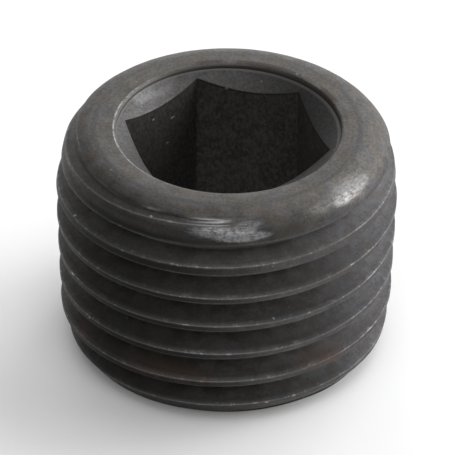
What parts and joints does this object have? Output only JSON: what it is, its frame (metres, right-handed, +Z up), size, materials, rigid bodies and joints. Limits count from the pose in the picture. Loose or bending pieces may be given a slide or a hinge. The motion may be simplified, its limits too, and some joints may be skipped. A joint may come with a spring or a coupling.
{
  "type": "hex socket plug",
  "caption": "Headless taper-threaded steel pipe plug: rounded rim, countersunk hexagon socket in the wide end, flat chamfered small end.",
  "frame": {"origin": "middle of the flat small end, on the axis", "axes": "+Z up the thread's axis, from the small end to the socket's mouth; +X through a corner of the socket"},
  "size_m": [0.0132, 0.0132, 0.0095],
  "materials": {
    "black_oxide_steel": "black oxide on turned steel, satin, worn brighter on the rim and crests"
  },
  "bodies": {
    "root": {"threaded_plug": "black_oxide_steel"}
  },
  "joints": []
}
